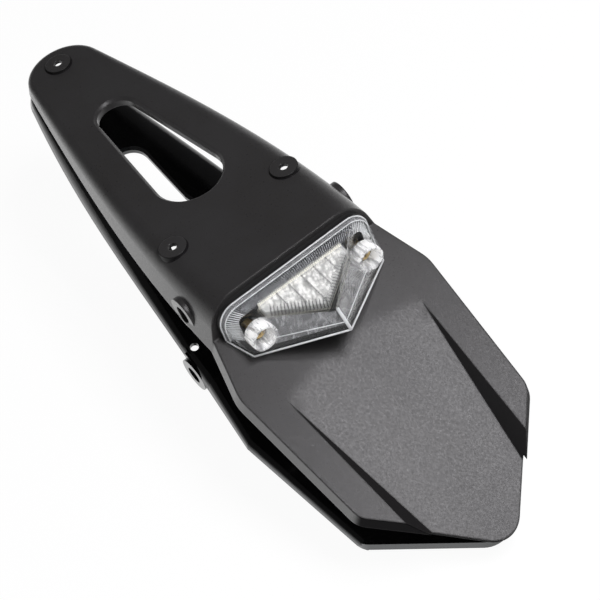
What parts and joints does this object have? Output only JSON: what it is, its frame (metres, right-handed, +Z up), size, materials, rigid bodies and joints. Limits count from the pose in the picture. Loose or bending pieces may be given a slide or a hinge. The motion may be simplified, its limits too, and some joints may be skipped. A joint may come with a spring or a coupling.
{
  "type": "motorcycle tail light mudguard",
  "caption": "Two-shell enduro rear mudguard end with slotted clamping tongues, a clear LED tail light and a folded number plate flap.",
  "frame": {"origin": "midway between the two rear bolt bosses, on the flat top of the upper tongue", "axes": "+X rearward towards the flap's tip, +Y to the right, +Z up out of the upper tongue along the boss holes"},
  "size_m": [0.4533, 0.1384, 0.1289],
  "materials": {
    "shell_matte": "satin, fine grain",
    "shell_gloss": "gloss",
    "lens_clear": "clear, partly fluted",
    "base_black": "satin",
    "gasket_rubber": "matte",
    "board_green": "white solder mask",
    "reflector_cream": "gloss",
    "led_body": "clear resin over white",
    "screw_brass": "bright",
    "fastener_steel": "zinc plated"
  },
  "bodies": {
    "root": {"upper_shell": "shell_matte", "lower_shell": "shell_gloss", "light_lens": "lens_clear", "lamp_base": "base_black", "lamp_gasket": "gasket_rubber", "led_board": "board_green", "led_reflector": "reflector_cream", "leds": "led_body", "lens_screws": "screw_brass", "lamp_nuts": "fastener_steel", "joint_screws": "fastener_steel", "joint_washers": "fastener_steel", "wire_grommet": "gasket_rubber"}
  },
  "joints": []
}
